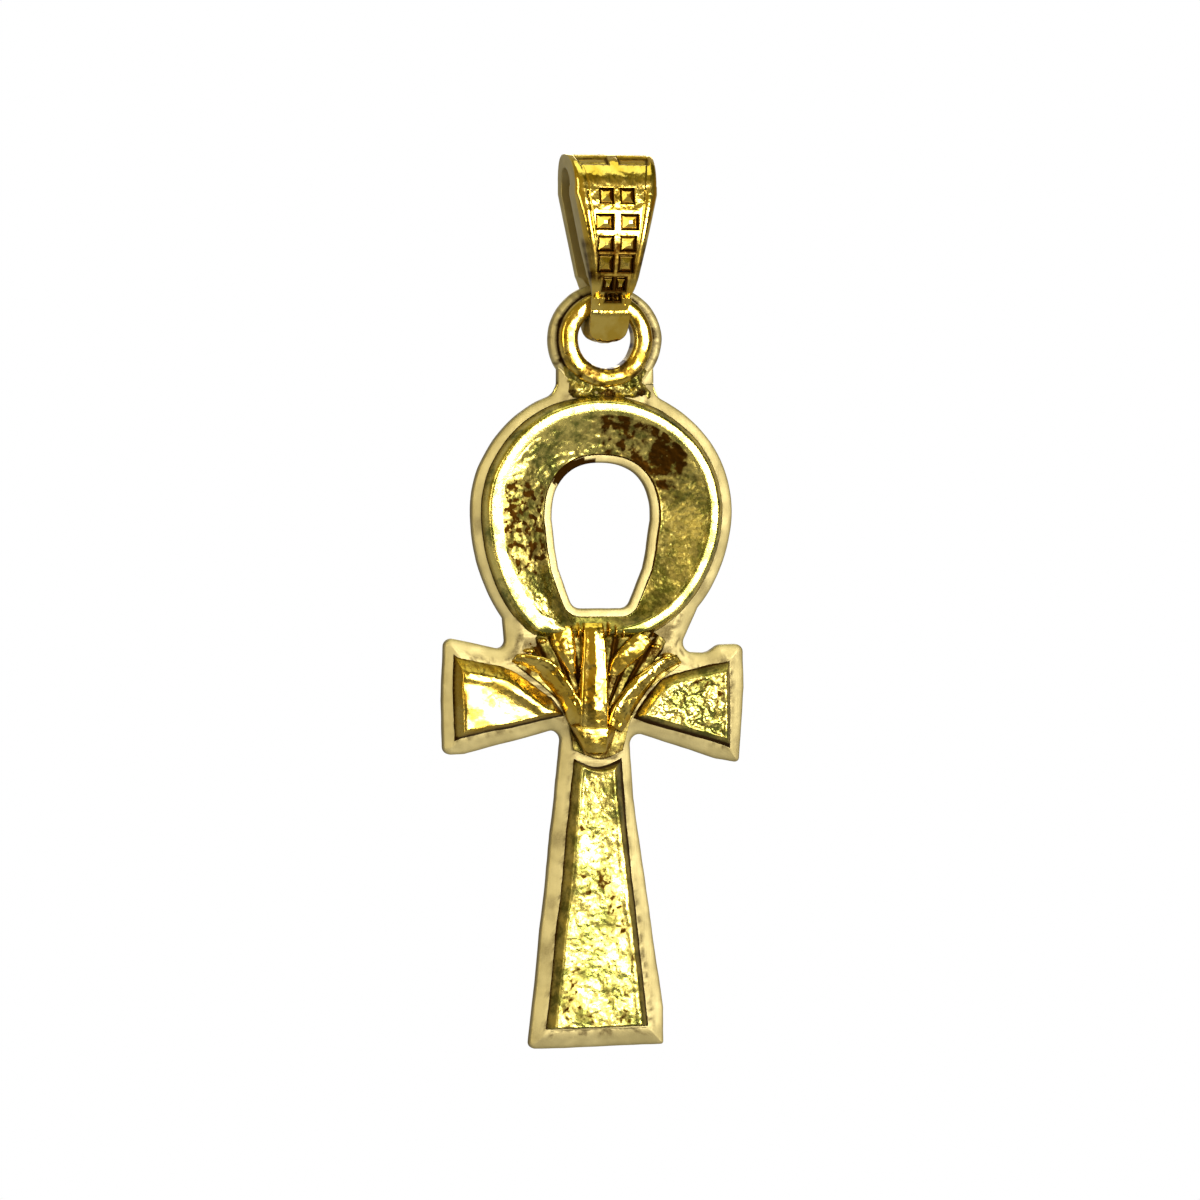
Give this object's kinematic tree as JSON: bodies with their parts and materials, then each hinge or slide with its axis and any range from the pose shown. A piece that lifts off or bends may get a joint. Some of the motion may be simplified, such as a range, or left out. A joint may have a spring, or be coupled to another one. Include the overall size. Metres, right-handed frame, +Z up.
{
  "type": "ankh pendant",
  "caption": "Gold ankh pendant with a raised lotus at the crossing, a textured loop and arms, and a tapered cell-patterned bail that lets it swing.",
  "frame": {"origin": "middle of the inside top of the bail, where the chain seats", "axes": "+Z up, front of the ankh facing -Y, +X to the right as seen from the front"},
  "size_m": [0.0138, 0.0036, 0.04],
  "materials": {
    "ankh_gold": "polished cast yellow gold, satin on the rim",
    "bail_gold": "polished cast yellow gold"
  },
  "bodies": {
    "bail": {"bail": "bail_gold"},
    "ankh": {"ankh": "ankh_gold"}
  },
  "joints": [
    {"name": "ankh_swing", "type": "hinge", "parent": "bail", "child": "ankh", "pos_m": [0, 0, -0.00577], "axis": [1, 0, 0], "range_deg": [-60, 60]}
  ]
}
